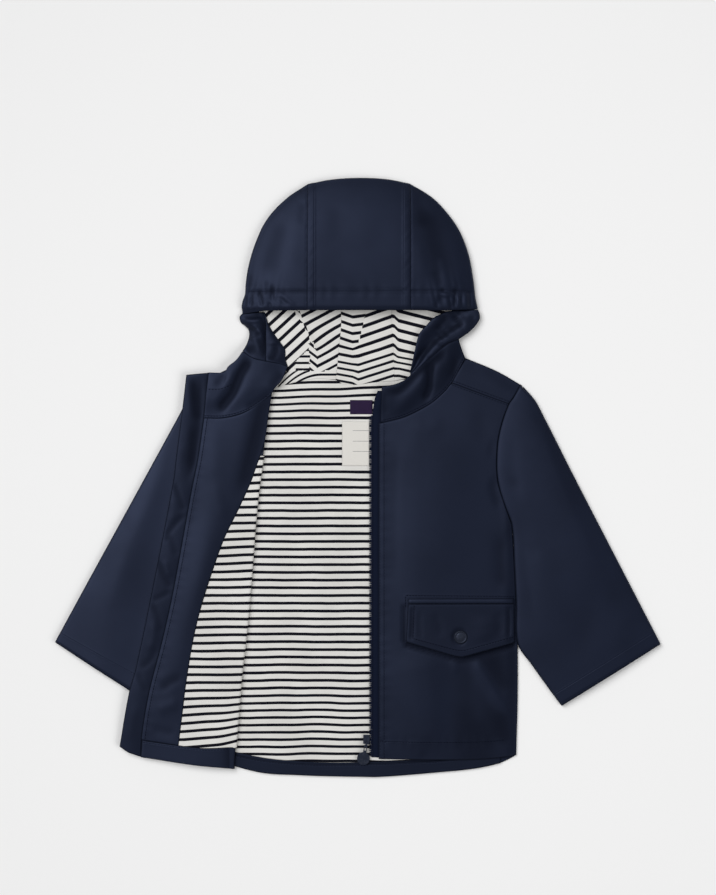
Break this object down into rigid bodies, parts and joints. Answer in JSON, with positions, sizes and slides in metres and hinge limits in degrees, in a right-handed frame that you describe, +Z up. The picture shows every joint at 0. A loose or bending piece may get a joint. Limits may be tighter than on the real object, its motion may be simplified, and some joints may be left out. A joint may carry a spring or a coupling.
{
  "type": "kids raincoat",
  "caption": "Child's hooded raincoat laid open face up, one front folded back to show a striped lining, with zip, pocket flap and gathered hood",
  "frame": {"origin": "centre of the coat's bounding box in plan, on the surface that it lies on", "axes": "+X to the wearer's left, +Y from the hem to the hood, +Z up off the surface"},
  "size_m": [0.6342, 0.6282, 0.0198],
  "materials": {
    "back_shell": "coated woven cloth, semi-matt",
    "back_lining": "striped jersey knit",
    "back_hem": "coated woven cloth, semi-matt",
    "left_front": "coated woven cloth, semi-matt",
    "left_yoke": "coated woven cloth, semi-matt",
    "right_yoke": "coated woven cloth, semi-matt",
    "right_front": "coated woven cloth, semi-matt",
    "right_front_lining": "striped jersey knit",
    "right_facing": "coated woven cloth, semi-matt",
    "right_front_hem": "coated woven cloth, semi-matt",
    "wind_flap": "coated woven cloth, semi-matt",
    "left_sleeve": "coated woven cloth, semi-matt",
    "right_sleeve": "coated woven cloth, semi-matt",
    "collar_left": "coated woven cloth, semi-matt",
    "collar_right": "coated woven cloth, semi-matt",
    "hood_centre": "coated woven cloth, semi-matt",
    "hood_left": "coated woven cloth, semi-matt",
    "hood_right": "coated woven cloth, semi-matt",
    "hood_lining_centre": "striped jersey knit",
    "hood_lining_left": "striped jersey knit",
    "hood_lining_right": "striped jersey knit",
    "casing_left": "coated woven cloth, semi-matt",
    "casing_right": "coated woven cloth, semi-matt",
    "casing_facing": "coated woven cloth, semi-matt",
    "pocket_welt": "coated woven cloth, semi-matt",
    "pocket_flap": "coated woven cloth, semi-matt",
    "woven_label": "woven label, plain",
    "name_label": "plain satin label",
    "zip_tape": "woven zip tape",
    "zip_chain": "moulded teeth",
    "zip_slider": "dark grey enamel",
    "zip_pull_tab": "dark grey enamel",
    "snap_cap": "dark grey enamel"
  },
  "bodies": {
    "coat": {"back_shell": "back_shell", "back_lining": "back_lining", "back_hem": "back_hem", "left_front": "left_front", "left_yoke": "left_yoke", "right_yoke": "right_yoke", "right_front": "right_front", "right_front_lining": "right_front_lining", "right_facing": "right_facing", "right_front_hem": "right_front_hem", "wind_flap": "wind_flap", "left_sleeve": "left_sleeve", "right_sleeve": "right_sleeve", "collar_left": "collar_left", "collar_right": "collar_right", "hood_centre": "hood_centre", "hood_left": "hood_left", "hood_right": "hood_right", "hood_lining_centre": "hood_lining_centre", "hood_lining_left": "hood_lining_left", "hood_lining_right": "hood_lining_right", "casing_left": "casing_left", "casing_right": "casing_right", "casing_facing": "casing_facing", "pocket_welt": "pocket_welt", "pocket_flap": "pocket_flap", "woven_label": "woven_label", "name_label": "name_label", "zip_tape": "zip_tape", "zip_chain": "zip_chain", "zip_slider": "zip_slider", "snap_cap": "snap_cap"},
    "pull_tab": {"zip_pull_tab": "zip_pull_tab"}
  },
  "joints": [
    {"name": "pull_swing", "type": "hinge", "parent": "coat", "child": "pull_tab", "pos_m": [0.0086, -0.2776, 0.0072], "axis": [-0.9816, 0.1908, 0], "range_deg": [0, 150]}
  ]
}
